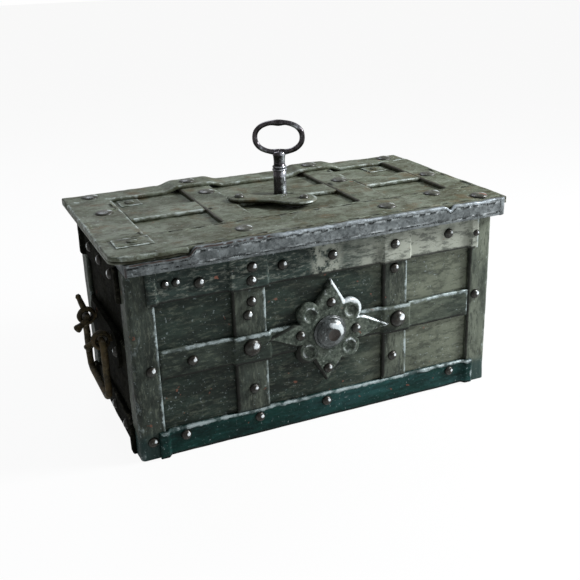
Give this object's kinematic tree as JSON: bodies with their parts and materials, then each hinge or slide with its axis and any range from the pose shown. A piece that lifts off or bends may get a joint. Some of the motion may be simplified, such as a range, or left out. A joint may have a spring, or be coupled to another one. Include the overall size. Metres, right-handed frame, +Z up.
{
  "type": "donation box",
  "caption": "Riveted iron strongbox used as a donation box, with a hinged lid that holds a key-worked bolt lock, a false lock plate on the front and a drop handle at each end",
  "frame": {"origin": "centre of the flat underside of the box", "axes": "+X to the right along the front, +Y from the front to the back, +Z up"},
  "size_m": [0.3722, 0.1967, 0.236],
  "materials": {
    "painted_sheet": "dark green-grey paint, worn and rubbed",
    "painted_straps": "dark green-grey paint, bare and bright at the edges",
    "green_band": "deep green paint, worn",
    "lid_bars": "grey-violet worn paint",
    "rivet_iron": "polished by handling",
    "rusty_iron": "brown rust",
    "lock_steel": "filed and oiled",
    "key_steel": "dark polished steel"
  },
  "bodies": {
    "box": {"bottom_plate": "painted_sheet", "front_plate": "painted_sheet", "back_plate": "painted_sheet", "left_plate": "painted_sheet", "right_plate": "painted_sheet", "corner_strap_front_left": "painted_straps", "corner_strap_front_right": "painted_straps", "corner_strap_back_left": "painted_straps", "corner_strap_back_right": "painted_straps", "front_upright_left": "painted_straps", "front_upright_right": "painted_straps", "front_bottom_band": "green_band", "front_middle_band": "painted_straps", "front_top_band": "painted_straps", "back_bottom_band": "green_band", "back_middle_band": "painted_straps", "back_top_band": "painted_straps", "left_end_bands": "painted_straps", "right_end_bands": "painted_straps", "back_hinge_strap_left": "painted_straps", "back_hinge_strap_right": "painted_straps", "hinge_pins": "rivet_iron", "rim_flange": "lock_steel", "false_lock_plate": "painted_straps", "front_boss": "rivet_iron", "front_rivets": "rivet_iron", "back_rivets": "rivet_iron", "left_end_rivets": "rivet_iron", "right_end_rivets": "rivet_iron", "left_handle_plate": "rusty_iron", "right_handle_plate": "rusty_iron", "left_handle_eyes": "rusty_iron", "right_handle_eyes": "rusty_iron"},
    "lid": {"lid_plate": "painted_sheet", "front_lip": "lid_bars", "lid_bar_left": "lid_bars", "lid_bar_right": "lid_bars", "lid_bar_back": "lid_bars", "lid_front_border": "painted_straps", "lid_back_border": "painted_straps", "lid_left_strap": "painted_straps", "lid_right_strap": "painted_straps", "lid_hinge_strap_left": "painted_straps", "lid_hinge_strap_right": "painted_straps", "lid_middle_strap": "painted_straps", "lid_rivets": "rivet_iron", "key_plate": "painted_straps", "lock_carrier": "lock_steel", "lock_pillars": "lock_steel", "bolt_guides": "lock_steel", "lock_cover": "lock_steel"},
    "cam": {"lock_cam": "lock_steel"},
    "key": {"key": "key_steel"},
    "front_bolt": {"bolt_front": "lock_steel"},
    "back_bolt": {"bolt_back": "lock_steel"},
    "left_bolt": {"bolt_left": "lock_steel"},
    "right_bolt": {"bolt_right": "lock_steel"},
    "left_handle": {"left_bail": "rusty_iron"},
    "right_handle": {"right_bail": "rusty_iron"}
  },
  "joints": [
    {"name": "lid_hinge", "type": "hinge", "parent": "box", "child": "lid", "pos_m": [0, 0.0915, 0.15], "axis": [-1, 0, 0], "range_deg": [0, 100]},
    {"name": "key_turn", "type": "hinge", "parent": "lid", "child": "cam", "pos_m": [0.006, 0.014, 0.145], "axis": [0, 0, 1], "range_deg": [0, 360]},
    {"name": "key_lift", "type": "slide", "parent": "cam", "child": "key", "axis": [0, 0, 1], "range_m": [0, 0.045]},
    {"name": "front_bolt_slide", "type": "slide", "parent": "lid", "child": "front_bolt", "axis": [0, -1, 0], "range_m": [0, 0.009]},
    {"name": "back_bolt_slide", "type": "slide", "parent": "lid", "child": "back_bolt", "axis": [0, 1, 0], "range_m": [0, 0.009]},
    {"name": "left_bolt_slide", "type": "slide", "parent": "lid", "child": "left_bolt", "axis": [-1, 0, 0], "range_m": [0, 0.009]},
    {"name": "right_bolt_slide", "type": "slide", "parent": "lid", "child": "right_bolt", "axis": [1, 0, 0], "range_m": [0, 0.009]},
    {"name": "left_handle_swing", "type": "hinge", "parent": "box", "child": "left_handle", "pos_m": [-0.1712, 0, 0.085], "axis": [0, 1, 0], "range_deg": [0, 120]},
    {"name": "right_handle_swing", "type": "hinge", "parent": "box", "child": "right_handle", "pos_m": [0.1712, 0, 0.085], "axis": [0, -1, 0], "range_deg": [0, 120]}
  ],
  "couplings": [
    {"joint": "front_bolt_slide", "follows": "key_turn", "m_per_rad": 0.0014324},
    {"joint": "back_bolt_slide", "follows": "key_turn", "m_per_rad": 0.0014324},
    {"joint": "left_bolt_slide", "follows": "key_turn", "m_per_rad": 0.0014324},
    {"joint": "right_bolt_slide", "follows": "key_turn", "m_per_rad": 0.0014324}
  ]
}
